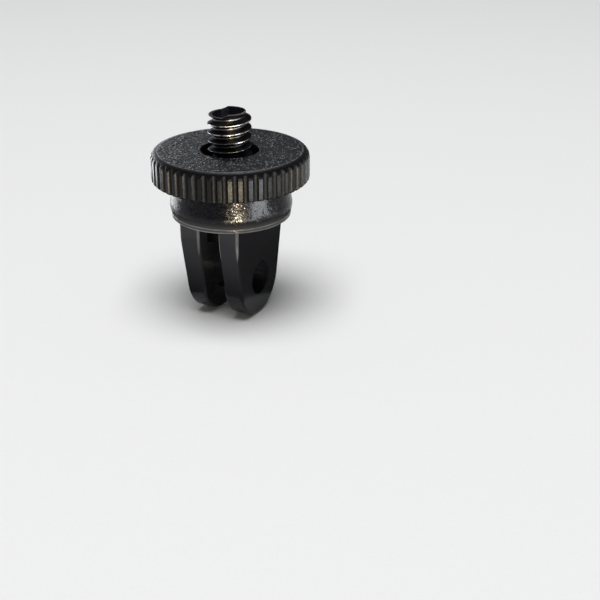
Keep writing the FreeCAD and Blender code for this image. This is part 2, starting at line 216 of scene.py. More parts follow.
wheel_corners = [
    (SEAT_RADIUS, WHEEL_BOTTOM, 0),
    (WHEEL_RADIUS - BOTTOM_CHAMFER, WHEEL_BOTTOM, CHAMFER_ROUND),
    (WHEEL_RADIUS, WHEEL_BOTTOM + BOTTOM_CHAMFER, CHAMFER_ROUND),
    (WHEEL_RADIUS, WHEEL_TOP, RIM_ROUND),
    (COUNTERBORE_RADIUS, WHEEL_TOP, COUNTERBORE_ROUND),
    (COUNTERBORE_RADIUS, INSERT_TOP, 0),
    (SEAT_RADIUS, INSERT_TOP, 0),
]
wheel_points = rounded_outline(wheel_corners, steps=12)
print("points in the wheel's section:", len(wheel_points))

# %% [markdown]
# The solid has the same flutes with knife sharp edges. A mould can't make those, and a finger
# would wear them, so the wheel is built again with soft ones.
#
# Cutting fifty flutes with a boolean is slow and leaves long thin faces. Here the disc is spun in
# fine steps, and then each vertex on its side is moved in to the flute's surface. A smooth
# minimum of the two radii gives the soft edge, and it makes the arched ends under the rim by
# itself.

# %% Spin the wheel and press the flutes in
FLUTE_COUNT = 50
FLUTE_RADIUS = 0.42
FLUTE_DEPTH = 0.33
STEPS_PER_FLUTE = 20
EDGE_SOFTNESS = 0.1
FLUTE_SHARP = math.radians(50)

flute_centre = WHEEL_RADIUS + FLUTE_RADIUS - FLUTE_DEPTH
flute_pitch = 2 * math.pi / FLUTE_COUNT


def smooth_min(first, second, softness):
    """The lesser of two numbers, with a soft change from one to the other."""
    overlap = max(softness - abs(first - second), 0) / softness
    return min(first, second) - overlap * overlap * softness / 4


def flute_surface(angle):
    """Distance from the axis to the flute's surface, in mm, at an angle about the axis."""
    offset = (angle + flute_pitch / 2) % flute_pitch - flute_pitch / 2
    aside = abs(flute_centre * math.sin(offset))
    if aside < FLUTE_RADIUS:
        return flute_centre - math.sqrt(FLUTE_RADIUS ** 2 - aside ** 2)
    return flute_centre + (aside - FLUTE_RADIUS)


bm = bmesh.new()
spin_outline(bm, wheel_points, FLUTE_COUNT, STEPS_PER_FLUTE)
for vert in bm.verts:
    radius = math.hypot(vert.co.x, vert.co.y) / MM
    if radius > flute_centre - FLUTE_RADIUS - 2 * EDGE_SOFTNESS:
        angle = math.atan2(vert.co.y, vert.co.x)
        new_radius = smooth_min(radius, flute_surface(angle), EDGE_SOFTNESS)
        vert.co.xy *= new_radius / radius
lock_wheel = make_piece("fluted_lock_wheel", bm, sharp=FLUTE_SHARP)
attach(lock_wheel, "wheel")
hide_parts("lock_wheel")
report(lock_wheel)

# %% [markdown]
# ## The camera stud
#
# A screw thread is a small outline that climbs as it turns. The spin operator can do that: its
# dvec moves each step a little along the axis. One pitch of outline, spun for one turn, copied
# upwards and welded where a turn meets the next, gives one unbroken surface. The Screw modifier
# would do as well, but the ends need work on the vertices anyway.

# %% Spin the thread
STUD_RADIUS = 3.125
PITCH = 1.27
ROOT_RADIUS = 2.345
CREST_FLAT, CREST_ROUND = 0.16, 0.05
ROOT_FLAT, ROOT_ROUND = 0.2, 0.06
GROOVE_ANGLE = math.radians(149)
GROOVE_LEVEL = 15.7
STEPS_PER_TURN = 96
THREAD_WELD = 0.002

thread_corners = [
    (ROOT_RADIUS, 0, 0),
    (ROOT_RADIUS, ROOT_FLAT / 2, ROOT_ROUND),
    (STUD_RADIUS, (PITCH - CREST_FLAT) / 2, CREST_ROUND),
    (STUD_RADIUS, (PITCH + CREST_FLAT) / 2, CREST_ROUND),
    (ROOT_RADIUS, PITCH - ROOT_FLAT / 2, ROOT_ROUND),
    (ROOT_RADIUS, PITCH, 0),
]
turns_below = math.ceil((GROOVE_LEVEL - HEAD_BOTTOM) / PITCH)
turns = turns_below + math.ceil((STUD_TIP - GROOVE_LEVEL) / PITCH) + 1
first_level = GROOVE_LEVEL - turns_below * PITCH

bm = bmesh.new()
start = wire(bm, [(across, first_level + up) for across, up
                  in rounded_outline(thread_corners, closed=False, steps=3)], closed=False)
bmesh.ops.rotate(bm, cent=(0, 0, 0), matrix=Matrix.Rotation(GROOVE_ANGLE, 3, "Z"),
                 verts=verts_of(start))
bmesh.ops.spin(bm, geom=start, cent=(0, 0, 0), axis=(0, 0, 1),
               dvec=(0, 0, PITCH * MM / STEPS_PER_TURN), angle=2 * math.pi,
               steps=STEPS_PER_TURN, use_merge=False)
one_turn = whole(bm)
for turn in range(1, turns):
    copied = bmesh.ops.duplicate(bm, geom=one_turn)["geom"]
    bmesh.ops.translate(bm, vec=(0, 0, turn * PITCH * MM), verts=verts_of(copied))
bmesh.ops.remove_doubles(bm, verts=bm.verts, dist=THREAD_WELD * MM)
print("turns of thread:", turns, "faces:", len(bm.faces))

# %% [markdown]
# The lowest turns fade into the plain shank, and the tip is turned down to a chamfer. Both are
# done by moving vertices in or out. Then two planes cut the thread to its length.

# %% Fade the thread out and turn the tip down
TIP_CHAMFER = 0.7
FADE_FROM, FADE_TO = COLLAR_TOP + 0.1, COLLAR_TOP + 0.7
SHANK_BOTTOM = HEAD_BOTTOM + 0.5
CUT_DISTANCE = 0.0001

for vert in bm.verts:
    radius = math.hypot(vert.co.x, vert.co.y) / MM
    level = vert.co.z / MM
    fade = min(max((level - FADE_FROM) / (FADE_TO - FADE_FROM), 0), 1)
    wanted = STUD_RADIUS + (radius - STUD_RADIUS) * fade * fade * (3 - 2 * fade)
    chamfer = STUD_RADIUS - max(level - (STUD_TIP - TIP_CHAMFER), 0)
    vert.co.xy *= min(wanted, chamfer) / radius


def trim(bm, point, normal):
    """Cut away what lies beyond a plane through a point in mm, and close the cut."""
    cut = bmesh.ops.bisect_plane(bm, geom=whole(bm), dist=CUT_DISTANCE * MM,
                                 plane_co=Vector(point) * MM, plane_no=normal, clear_outer=True)
    bmesh.ops.contextual_create(bm, geom=edges_of(cut["geom_cut"]))


trim(bm, (0, 0, STUD_TIP), (0, 0, 1))
trim(bm, (0, 0, SHANK_BOTTOM), (0, 0, -1))
bmesh.ops.recalc_face_normals(bm, faces=bm.faces)
thread = make_piece("stud_thread", bm)
report(thread)

# %% [markdown]
# ## Joining closed shapes
#
# A real moulding or screw is one skin. A boolean modifier joins two closed shapes to one, and its
# result is kept as a plain mesh, so that the helper shapes can go.

# %% A helper for booleans
def combine(piece, other, operation):
    """Join another closed shape to a piece or take it away, and delete the other shape."""
    modifier = piece.modifiers.new("join", "BOOLEAN")
    modifier.operation = operation
    modifier.solver = "EXACT"
    modifier.object = other
    evaluated = piece.evaluated_get(bpy.context.evaluated_depsgraph_get())
    mesh = bpy.data.meshes.new_from_object(evaluated)
    piece.modifiers.clear()
    old = piece.data
    piece.data = mesh
    bpy.data.meshes.remove(old)
    bpy.data.objects.remove(other)


# %% [markdown]
# The stud's hex head is moulded into the collar, where it keeps the stud from turning. Nobody sees
# it, but it is part of the screw, so it is there. A cone with two equal radii and six sides makes
# it, and the same helper makes the round rods that cut the base later.

# %% The hex head
HEAD_FLATS = 11.1
HEAD_HEIGHT = 3.2
ROUND_SEGMENTS = 96
head_corner = HEAD_FLATS / 2 / math.cos(math.radians(30))
head_centre = (0, 0, HEAD_BOTTOM + HEAD_HEIGHT / 2)
upright = Matrix.Identity(3)


def make_rod(name, radius, length, centre, turn, segments):
    """A closed round or many sided rod, with its sizes in mm."""
    bm = bmesh.new()
    bmesh.ops.create_cone(bm, cap_ends=True, segments=segments, depth=length * MM,
                          radius1=radius * MM, radius2=radius * MM)
    bmesh.ops.rotate(bm, cent=(0, 0, 0), matrix=turn, verts=bm.verts)
    bmesh.ops.translate(bm, verts=bm.verts, vec=Vector(centre) * MM)
    return make_piece(name, bm)


camera_stud = thread
combine(camera_stud, make_rod("hex_head", head_corner, HEAD_HEIGHT, head_centre, upright, 6), "UNION")
report(camera_stud)

# %% [markdown]
# The end of a rolled screw is never quite flat. Where the thread starts, a part of the end lies
# lower, with a short ramp down to it. A wedge shaped cutter takes that part away. The cutter only
# has to reach past the stud on the other sides.

# %% The step in the stud's end
STEP_DEPTH = 0.45
STEP_FROM, STEP_TO = 0.1, 1.15
STEP_WAY = math.radians(-150.5)
CUTTER_REACH, CUTTER_HALF, CUTTER_RISE = 6, 5, 1

slope = (STEP_TO - STEP_FROM) / STEP_DEPTH
floor_level, roof_level = STUD_TIP - STEP_DEPTH, STUD_TIP + CUTTER_RISE
bm = bmesh.new()
profile = [(STEP_TO, floor_level), (CUTTER_REACH, floor_level), (CUTTER_REACH, roof_level),
           (STEP_TO - slope * (roof_level - floor_level), roof_level)]
wire(bm, profile)
bmesh.ops.contextual_create(bm, geom=bm.edges[:])
bmesh.ops.translate(bm, verts=bm.verts, vec=(0, -CUTTER_HALF * MM, 0))
bmesh.ops.translate(bm, verts=extrude_flat(bm), vec=(0, 2 * CUTTER_HALF * MM, 0))
bmesh.ops.rotate(bm, cent=(0, 0, 0), matrix=Matrix.Rotation(STEP_WAY, 3, "Z"), verts=bm.verts)
bmesh.ops.recalc_face_normals(bm, faces=bm.faces)
combine(camera_stud, make_piece("end_step", bm), "DIFFERENCE")
camera_stud.name = "camera_stud_screw"
camera_stud.data.set_sharp_from_angle(angle=SHARP_ANGLE)
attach(camera_stud, "base")
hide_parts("camera_stud")
report(camera_stud)

# %% [markdown]
# ## The moulded base
#
# The base is one moulding with three forms: a round collar with a belly and a thin lip, two flat
# prongs, and a web between them. Each is built by itself in the simplest way and then joined. The
# collar is spun like the wheel, from an outline that starts and ends on the axis.

# %% The collar
COLLAR_BOTTOM = 9.4
COLLAR_SECTORS, SECTOR_STEPS = 24, 12

LIP_RADIUS, LIP_HEIGHT, LIP_STEP = 8.65, 0.6, 0.06
LIP_ROUND, LIP_EDGE, LIP_NOOK = 0.2, 0.035, 0.02
BELLY_RADIUS, BELLY_RISE, BELLY_ROUND = 8.95, 1.5, 2.6
TOP_RADIUS, TOP_ROUND = 8.2, 0.4

collar_corners = [
    (0, COLLAR_BOTTOM, 0),
    (LIP_RADIUS, COLLAR_BOTTOM, LIP_ROUND),
    (LIP_RADIUS, COLLAR_BOTTOM + LIP_HEIGHT, LIP_EDGE),
    (LIP_RADIUS - LIP_STEP, COLLAR_BOTTOM + LIP_HEIGHT, LIP_NOOK),
    (BELLY_RADIUS, COLLAR_BOTTOM + BELLY_RISE, BELLY_ROUND),
    (TOP_RADIUS, COLLAR_TOP, TOP_ROUND),
    (0, COLLAR_TOP, 0),
]
bm = bmesh.new()
spin_outline(bm, rounded_outline(collar_corners, closed=False, steps=10), COLLAR_SECTORS,
             SECTOR_STEPS, closed=False)
collar = make_piece("collar", bm)
report(collar)

# %% [markdown]
# A prong's outline is straight under the collar and then tapers to a round end about the pivot.
# The two tapered sides would meet at a far point below, so the whole end is that one corner,
# rounded with the end's radius. The outline is filled, extruded to the prong's thickness, and its
# outer side is leaned in by the mould's draft. Bevels come last, while the edges are still few.

# %% The prongs
PRONG_HALF_WIDTH = 7.0
PRONG_TOP = COLLAR_BOTTOM + 0.6
BEND_LEVEL = COLLAR_BOTTOM - 2.6
BEND_ROUND = 8.0
END_RADIUS = -PRONG_END
SLOT_HALF = 1.575
ROOT_THICKNESS = 3.2
DRAFT_ANGLE = math.radians(1.1)
DRAFT_FROM = COLLAR_BOTTOM + 0.35
PRONG_BEVEL = 0.45
CORNER_ANGLE = math.radians(60)
OUTLINE_STEPS = 32

taper_lean = math.acos(END_RADIUS / math.hypot(PRONG_HALF_WIDTH, BEND_LEVEL)) - math.atan2(
    BEND_LEVEL, PRONG_HALF_WIDTH)
far_corner = -END_RADIUS / math.sin(taper_lean)
prong_corners = [
    (-PRONG_HALF_WIDTH, PRONG_TOP, 0),
    (PRONG_HALF_WIDTH, PRONG_TOP, 0),
    (PRONG_HALF_WIDTH, BEND_LEVEL, BEND_ROUND),
    (0, far_corner, END_RADIUS),
    (-PRONG_HALF_WIDTH, BEND_LEVEL, BEND_ROUND),
]


def runs_round(edge):
    """Whether an edge is a corner that runs round a prong's side, below the collar."""
    one_side = abs(edge.verts[0].co.x - edge.verts[1].co.x) < 0.3 * MM
    below = min(vert.co.z for vert in edge.verts) < COLLAR_BOTTOM * MM
    return one_side and below and edge.calc_face_angle(0) > CORNER_ANGLE


def make_prong(side):
    """One prong, on the side of the slot that is +1 or -1 along X."""
    bm = bmesh.new()
    outline = wire(bm, rounded_outline(prong_corners, steps=OUTLINE_STEPS))
    turn = Matrix.Rotation(math.radians(90), 3, "Z")
    bmesh.ops.rotate(bm, cent=(0, 0, 0), matrix=turn, verts=bm.verts)
    bmesh.ops.contextual_create(bm, geom=edges_of(outline))
    bmesh.ops.translate(bm, verts=bm.verts, vec=(side * SLOT_HALF * MM, 0, 0))
    for vert in extrude_flat(bm):
        lean = (DRAFT_FROM - vert.co.z / MM) * math.tan(DRAFT_ANGLE)
        vert.co.x += side * (ROOT_THICKNESS - lean) * MM
    bmesh.ops.recalc_face_normals(bm, faces=bm.faces)
    rims = [edge for edge in bm.edges if runs_round(edge)]
    bmesh.ops.bevel(bm, geom=rims, offset=PRONG_BEVEL * MM, offset_type="OFFSET", segments=5,
                    profile=0.5, affect="EDGES", material=-1, clamp_overlap=True)
    return make_piece(f"prong_{'right' if side > 0 else 'left'}", bm)


prongs = [make_prong(side) for side in (-1, 1)]
for prong in prongs:
    report(prong)

# %% [markdown]
# The web closes the top of the slot. Its underside is an arc about the pivot, which leaves room
# for the middle ear of the joint that the adapter goes into. A spun vertex draws the arc.

# %% The web
WEB_HALF_WIDTH = 4.6
SLOT_ROOT = 7.75
WEB_OVERLAP = 0.4

spring = math.sqrt(SLOT_ROOT ** 2 - WEB_HALF_WIDTH ** 2)
arc = 2 * math.asin(WEB_HALF_WIDTH / SLOT_ROOT)
bm = bmesh.new()
left = -(SLOT_HALF + WEB_OVERLAP) * MM
first = bm.verts.new((left, -WEB_HALF_WIDTH * MM, spring * MM))
bmesh.ops.spin(bm, geom=[first], cent=(0, 0, 0), axis=(-1, 0, 0), dvec=(0, 0, 0), angle=arc,
               steps=OUTLINE_STEPS, use_merge=False)
ends = [vert for vert in bm.verts if len(vert.link_edges) == 1]
top = [bm.verts.new((left, vert.co.y, PRONG_TOP * MM)) for vert in ends]
bm.edges.new((ends[0], top[0]))
bm.edges.new((ends[1], top[1]))
bm.edges.new(top)
bmesh.ops.contextual_create(bm, geom=bm.edges[:])
bmesh.ops.translate(bm, verts=extrude_flat(bm), vec=(-2 * left, 0, 0))
bmesh.ops.recalc_face_normals(bm, faces=bm.faces)
web = make_piece("web", bm)
report(web)

# %% [markdown]
# Now the three forms become one, and the pivot bore and the stud's seat are taken out of them.
# Booleans leave long thin faces, which would shade unevenly beside the bevels. The Weighted Normal
# modifier lets the large faces set the shading.

# %% Join the base and cut its bore and seat
BORE_RADIUS, BORE_LENGTH = 2.55, 20
SHANK_SEAT_HEIGHT = 4
sideways = Matrix.Rotation(math.radians(90), 3, "Y")
mount_base = collar
for form in (*prongs, web):
    combine(mount_base, form, "UNION")
cutters = [
    ("bore", BORE_RADIUS, BORE_LENGTH, (0, 0, 0), sideways, ROUND_SEGMENTS),
    ("head_seat", head_corner, HEAD_HEIGHT, head_centre, upright, 6),
    ("shank_seat", STUD_RADIUS, SHANK_SEAT_HEIGHT, (0, 0, COLLAR_TOP), upright, ROUND_SEGMENTS),
]
for cutter in cutters:
    combine(mount_base, make_rod(*cutter), "DIFFERENCE")
mount_base.name = "moulded_base"
mount_base.data.set_sharp_from_angle(angle=SHARP_ANGLE)
weighted = mount_base.modifiers.new("even_shading", "WEIGHTED_NORMAL")
weighted.keep_sharp = True
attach(mount_base, "base")
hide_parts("mount_base")
report(mount_base)

# %% [markdown]
# ## Shader tools
#
# Small helpers keep the node code short: they add a node with its settings, do a sum, fade a value
# from one level to another and mix two colours. Masks are joined by products, where all have to
# hold, and by the largest, where one is enough.

# %% Node helpers
def add_node(tree, kind, **settings):
    """A node of a kind, with its attributes or the values of its inputs set by name."""
    node = tree.nodes.new(kind)
    for name, setting in settings.items():
        if name in node.bl_rna.properties:
            setattr(node, name, setting)
        else:
            node.inputs[name.replace("_", " ").title()].default_value = setting
    return node


def do_sum(tree, operation, *terms):
    """The output of a Math node whose inputs are sockets or numbers."""
    node = add_node(tree, "ShaderNodeMath", operation=operation)
    for socket, term in zip(node.inputs, terms):
        if isinstance(term, (int, float)):
            socket.default_value = term
        else:
            tree.links.new(term, socket)
    return node.outputs[0]


def times(tree, first, *others):
    """The product of sockets or numbers."""
    for other in others:
        first = do_sum(tree, "MULTIPLY", first, other)
    return first


def largest(tree, first, *others):
    """The largest of several sockets."""
    for other in others:
        first = do_sum(tree, "MAXIMUM", first, other)
    return first


def ramp(tree, source, low, high, start=0.0, end=1.0):
    """A smooth change from start to end as a value goes from low to high."""
    node = add_node(tree, "ShaderNodeMapRange", interpolation_type="SMOOTHSTEP", From_Min=low,
                    From_Max=high, To_Min=start, To_Max=end)
    tree.links.new(source, node.inputs["Value"])
    return node.outputs["Result"]


def blend_colour(tree, mask, first, second):
    """Mix two colours, given as sockets or as three numbers, by a mask."""
    node = add_node(tree, "ShaderNodeMix", data_type="RGBA")
    tree.links.new(mask, node.inputs["Factor"])
    for socket, colour in ((node.inputs[6], first), (node.inputs[7], second)):
        if isinstance(colour, tuple):
            socket.default_value = (*colour, 1)
        else:
            tree.links.new(colour, socket)
    return node.outputs[2]


# %% [markdown]
# The zones of a finish follow the real shape. Every pattern reads Object coordinates, which here
# are the real place in metres, so a grain of a fifth of a millimetre has a scale of about 5000. The
# distance from the stud's axis, the distance from the middle and the height say where a point is.

# %% Materials and places on the object
def new_material(name, metallic=0.0):
    """A material with an empty Principled shader, its node tree and its place socket."""
    material = bpy.data.materials.new(name)
    material.use_nodes = True
    tree = material.node_tree
    shader = tree.nodes["Principled BSDF"]
    shader.inputs["Metallic"].default_value = metallic
    place = tree.nodes.new("ShaderNodeTexCoord").outputs["Object"]
    return material, tree, shader, place


def dress(piece, material):
    """Give a piece one material in place of what it had."""
    piece.data.materials.clear()
    piece.data.materials.append(material)
    print(f"{piece.name} is dressed in {material.name}, {len(material.node_tree.nodes)} nodes")


def distances(tree, place):
    """Distances from the stud's axis and from the planes X = 0 and Y = 0, and the height."""
    split = tree.nodes.new("ShaderNodeSeparateXYZ")
    tree.links.new(place, split.inputs[0])
    x, y, z = split.outputs
    squares = do_sum(tree, "ADD", times(tree, x, x), times(tree, y, y))
    return do_sum(tree, "SQRT", squares), do_sum(tree, "ABSOLUTE", x), do_sum(
        tree, "ABSOLUTE", y), z


def band(tree, source, middle, half, soft):
    """A mask that is 1 within half a width of a middle and fades over a soft border."""
    aside = do_sum(tree, "ABSOLUTE", do_sum(tree, "SUBTRACT", source, middle))
    return ramp(tree, aside, half + soft, half)


# %% [markdown]
# ## Effects that several finishes share
#
# Both plastics carry the fine grain that a spark eroded mould leaves. Each effect that more than
# one finish needs is a node group with its own inputs, and it puts out only masks, heights or a
# normal. Here Voronoi cells and a finer noise make the height of the grain, and some of the cells
# become specks, each with its own brightness.

# %% The grain of a spark eroded mould
FINER = 1.7
SPECK_EDGE, SPECK_CORE = 0.55, 0.25
SPECK_CONTRAST = 1.5


def new_group(name, inputs, outputs, kind="Float"):
    """An empty shader node group with a vector Place, named float inputs and named outputs."""
    group = bpy.data.node_groups.new(name, "ShaderNodeTree")
    group.interface.new_socket("Place", in_out="INPUT", socket_type="NodeSocketVector")
    for socket, default in inputs:
        made = group.interface.new_socket(socket, in_out="INPUT", socket_type="NodeSocketFloat")
        made.default_value = default
    for socket in outputs:
        group.interface.new_socket(socket, in_out="OUTPUT", socket_type=f"NodeSocket{kind}")
    entry = group.nodes.new("NodeGroupInput").outputs
    leave = group.nodes.new("NodeGroupOutput").inputs
    return group, entry, leave


grain_group, entry, leave = new_group(
    "mould_grain", [("Cells per metre", 5000.0), ("Speck share", 0.1)], ["Height", "Speck"])
pits = add_node(grain_group, "ShaderNodeTexVoronoi", feature="F1")
bumps = add_node(grain_group, "ShaderNodeTexNoise", Detail=2.0)
grain_group.links.new(entry["Place"], pits.inputs["Vector"])
grain_group.links.new(entry["Place"], bumps.inputs["Vector"])
grain_group.links.new(entry["Cells per metre"], pits.inputs["Scale"])
grain_group.links.new(times(grain_group, entry["Cells per metre"], FINER), bumps.inputs["Scale"])
height = do_sum(grain_group, "ADD", pits.outputs["Distance"], bumps.outputs["Fac"])
grain_group.links.new(height, leave["Height"])
cell = add_node(grain_group, "ShaderNodeSeparateColor")
grain_group.links.new(pits.outputs["Color"], cell.inputs[0])
chosen = do_sum(grain_group, "LESS_THAN", cell.outputs[0], entry["Speck share"])
middle = ramp(grain_group, pits.outputs["Distance"], SPECK_EDGE, SPECK_CORE)
bright = do_sum(grain_group, "POWER", cell.outputs[1], SPECK_CONTRAST)
grain_group.links.new(times(grain_group, chosen, middle, bright), leave["Speck"])
print("nodes in the grain:", len(grain_group.nodes))

# %% [markdown]
# On grained plastic each grain is a tiny mirror with its own lean, so a highlight breaks up into
# sparks. A bump that fine is smaller than a pixel and blurs to an even grey. So each Voronoi cell
# gets one lean for the whole cell, which stays sharp. Few cells lean far: the lean is the square
# of a random number, taken from the last digits of the cell's colour.

# %% The glitter of single grains
DIGIT_SHIFT = 37.0
MIDDLE_COLOUR = (0.5, 0.5, 0.5)

glitter_group, entry, leave = new_group(
    "grain_glitter", [("Cells per metre", 4500.0), ("Tilt", 0.3)], ["Normal"], kind="Vector")
grains = add_node(glitter_group, "ShaderNodeTexVoronoi", feature="F1")
glitter_group.links.new(entry["Place"], grains.inputs["Vector"])
glitter_group.links.new(entry["Cells per metre"], grains.inputs["Scale"])
way = add_node(glitter_group, "ShaderNodeVectorMath", operation="SUBTRACT")
glitter_group.links.new(grains.outputs["Color"], way.inputs[0])
way.inputs[1].default_value = MIDDLE_COLOUR
one_grain = add_node(glitter_group, "ShaderNodeSeparateColor")
glitter_group.links.new(grains.outputs["Color"], one_grain.inputs[0])
digits = do_sum(glitter_group, "FRACT", times(glitter_group, one_grain.outputs[0], DIGIT_SHIFT))
offset = add_node(glitter_group, "ShaderNodeVectorMath", operation="SCALE")
glitter_group.links.new(way.outputs[0], offset.inputs[0])
glitter_group.links.new(times(glitter_group, digits, digits, entry["Tilt"]), offset.inputs["Scale"])
tilted = add_node(glitter_group, "ShaderNodeVectorMath", operation="ADD")
surface = add_node(glitter_group, "ShaderNodeNewGeometry")
glitter_group.links.new(surface.outputs["Normal"], tilted.inputs[0])
glitter_group.links.new(offset.outputs[0], tilted.inputs[1])
unit = add_node(glitter_group, "ShaderNodeVectorMath", operation="NORMALIZE")
glitter_group.links.new(tilted.outputs[0], unit.inputs[0])
glitter_group.links.new(unit.outputs[0], leave["Normal"])
print("nodes in the glitter:", len(glitter_group.nodes))

# %% [markdown]
# Nothing handled is even, so all the finishes need slow, cloudy changes. This group gives a slow
# noise and a finer one. Two helpers then place a group in a material and add a bump to a shader.

# %% Slow clouds
FINE_CLOUDS = 9.0

cloud_group, entry, leave = new_group("slow_clouds", [("Scale", 300.0)], ["Cloud", "Fine"])
cloud = add_node(cloud_group, "ShaderNodeTexNoise", Detail=3.0, Roughness=0.55)
fine = add_node(cloud_group, "ShaderNodeTexNoise", Detail=4.0, Roughness=0.7)
for noise, factor, name in ((cloud, 1.0, "Cloud"), (fine, FINE_CLOUDS, "Fine")):
    cloud_group.links.new(entry["Place"], noise.inputs["Vector"])
    cloud_group.links.new(times(cloud_group, entry["Scale"], factor), noise.inputs["Scale"])
    cloud_group.links.new(ramp(cloud_group, noise.outputs["Fac"], 0.3, 0.7), leave[name])
print("nodes in the clouds:", len(cloud_group.nodes))


def use_group(tree, group, place, **values):
    """Place a group in a material, with its own values."""
    node = tree.nodes.new("ShaderNodeGroup")
    node.node_tree = group
    tree.links.new(place, node.inputs["Place"])
    for name, number in values.items():
        node.inputs[name.replace("_", " ")].default_value = number
    return node.outputs


def add_bump(tree, shader, height, distance, strength=1.0):
    """Send a height through a Bump node, whose distance is in metres, to the shader."""
    bump = add_node(tree, "ShaderNodeBump", Distance=distance, Strength=strength)
    tree.links.new(height, bump.inputs["Height"])
    tree.links.new(bump.outputs[0], shader.inputs["Normal"])
    return bump


def add_glitter(tree, place, bump, cells, where, tilt):
    """Tilt the normal that a Bump node starts from, grain by grain, where a mask is 1."""
    grains = use_group(tree, glitter_group, place, Cells_per_metre=cells)
    tree.links.new(times(tree, where, tilt), grains["Normal"].node.inputs["Tilt"])
    tree.links.new(grains["Normal"], bump.inputs["Normal"])


# %% [markdown]
# ## The wheel's plastic
#
# The wheel's flat top is grained, so that a camera doesn't slip on it, and the grain glitters. Its
# pale specks are partly dust and partly painted glints. The rim and the flutes are smooth from the
# mould. A thin pale line on the edge between them is a painted highlight. The ribs between the
# flutes are worn a little smoother than the black beside them. Their paler, browner colour is a
# painted sheen, and the flutes' darker black is painted shade.

# %% Colours of the wheel
TOP_COLOURS = ((0.002, 0.003, 0.004), (0.007, 0.009, 0.012))
# The ribs' paler, browner colour is a painted sheen, and the flutes' darker black is painted shade.
FLUTE_SHADE_COLOUR, RIB_SHEEN_COLOUR = (0.002, 0.002, 0.003), (0.008, 0.0075, 0.0065)
# The pale specks are partly dust and partly painted glints.
TOP_SPECK_AND_GLINT_COLOUR = (0.31, 0.34, 0.36)
# The pale line at the rim's edge is a painted highlight.
RIM_HIGHLIGHT_COLOUR = (0.15, 0.16, 0.17)
RIM_HIGHLIGHT_RADIUS = 10.38

wheel_plastic, tree, shader, place = new_material("wheel_plastic")
radius, _, _, level = distances(tree, place)
on_top = times(tree, ramp(tree, level, (WHEEL_TOP - 0.06) * MM, WHEEL_TOP * MM),
               ramp(tree, radius, 10.6 * MM, 10.0 * MM))
grain = use_group(tree, grain_group, place, Cells_per_metre=3300.0, Speck_share=0.5)
clouds = use_group(tree, cloud_group, place, Scale=260.0)
speck = times(tree, grain["Speck"], on_top)
rib_crest = ramp(tree, radius, 11.1 * MM, 11.25 * MM)
# A painted highlight: a pale band along the rim's edge.
rim_highlight = times(tree, band(tree, radius, RIM_HIGHLIGHT_RADIUS * MM, 0.07 * MM, 0.08 * MM),
                 ramp(tree, level, (WHEEL_TOP - 0.3) * MM, (WHEEL_TOP - 0.15) * MM),
                 ramp(tree, clouds["Fine"], 0.3, 0.9, 0.15, 1.0))
# Painted sheen on the ribs and painted shade in the flutes.
body_colour = blend_colour(tree, on_top, blend_colour(tree, rib_crest, FLUTE_SHADE_COLOUR, RIB_SHEEN_COLOUR),
                           blend_colour(tree, clouds["Cloud"], *TOP_COLOURS))
body_colour = blend_colour(tree, rim_highlight, body_colour, RIM_HIGHLIGHT_COLOUR)
# Pale specks on the top, partly dust and partly painted glints.
tree.links.new(blend_colour(tree, speck, body_colour, TOP_SPECK_AND_GLINT_COLOUR), shader.inputs["Base Color"])

# %% [markdown]
# The gloss follows the same zones: rough between the grains of the top, smoother on the ribs than
# in the flutes. The bump is strong on the top and next to nothing elsewhere.

# %% Gloss and grain of the wheel
PLASTIC_GLOSS = 0.2

smooth_part = times(tree, ramp(tree, rib_crest, 0.0, 1.0, 0.45, 0.24),
                    ramp(tree, clouds["Fine"], 0.0, 1.0, 0.85, 1.15))
rough_part = ramp(tree, speck, 0.0, 0.6, 0.5, 0.22)
off_top = do_sum(tree, "SUBTRACT", 1.0, on_top)
roughness = do_sum(tree, "ADD", times(tree, rough_part, on_top), times(tree, smooth_part, off_top))
tree.links.new(roughness, shader.inputs["Roughness"])
grain_height = times(tree, grain["Height"], ramp(tree, on_top, 0.0, 1.0, 0.05, 1.0))
bump = add_bump(tree, shader, grain_height, 0.1 * MM)
add_glitter(tree, place, bump, 3800.0, on_top, 1.4)
shader.inputs["Specular IOR Level"].default_value = PLASTIC_GLOSS
dress(lock_wheel, wheel_plastic)

# %% [markdown]
# ## The base's plastic
#
# The base is the same black, but glossy. It is painted paler under the belly, as a painted
# reflection of what stands below. It is paler towards the prongs' roots and darker towards their
# ends, as painted light and shade. The slot is the darkest part, painted shade because hardly any
# light gets in, and the prongs' outer sides are painted darker as painted shade too.

# %% Colours of the base
COLLAR_COLOURS = ((0.004, 0.004, 0.007), (0.008, 0.008, 0.013))
# Painted reflection: the paler colour under the belly.
UNDER_BELLY_REFLECTION_COLOUR = (0.10, 0.096, 0.092)
# Painted light and shade: pale prong roots, dark prong ends.
PRONG_END_SHADE_COLOUR, PRONG_ROOT_LIGHT_COLOUR = (0.008, 0.008, 0.010), (0.062, 0.062, 0.066)
# Painted shade in the slot.
SLOT_SHADE_COLOUR = (0.004, 0.004, 0.005)
# Painted shade on the prongs' outer sides.
OUTER_SIDE_SHADE_COLOUR = (0.022, 0.022, 0.024)

base_plastic, tree, shader, place = new_material("base_plastic")
radius, aside, ahead, level = distances(tree, place)
grain = use_group(tree, grain_group, place, Cells_per_metre=4300.0, Speck_share=0.35)
clouds = use_group(tree, cloud_group, place, Scale=180.0)
# Prongs: painted light at the roots fading to painted shade at the ends.
prong_shaded_colour = blend_colour(tree, ramp(tree, level, -4 * MM, 9 * MM), PRONG_END_SHADE_COLOUR,
                            PRONG_ROOT_LIGHT_COLOUR)
# Painted shade on the slot's faces.
in_slot = ramp(tree, aside, (SLOT_HALF + 0.02) * MM, (SLOT_HALF - 0.05) * MM)
prong_shaded_colour = blend_colour(tree, in_slot, prong_shaded_colour, SLOT_SHADE_COLOUR)
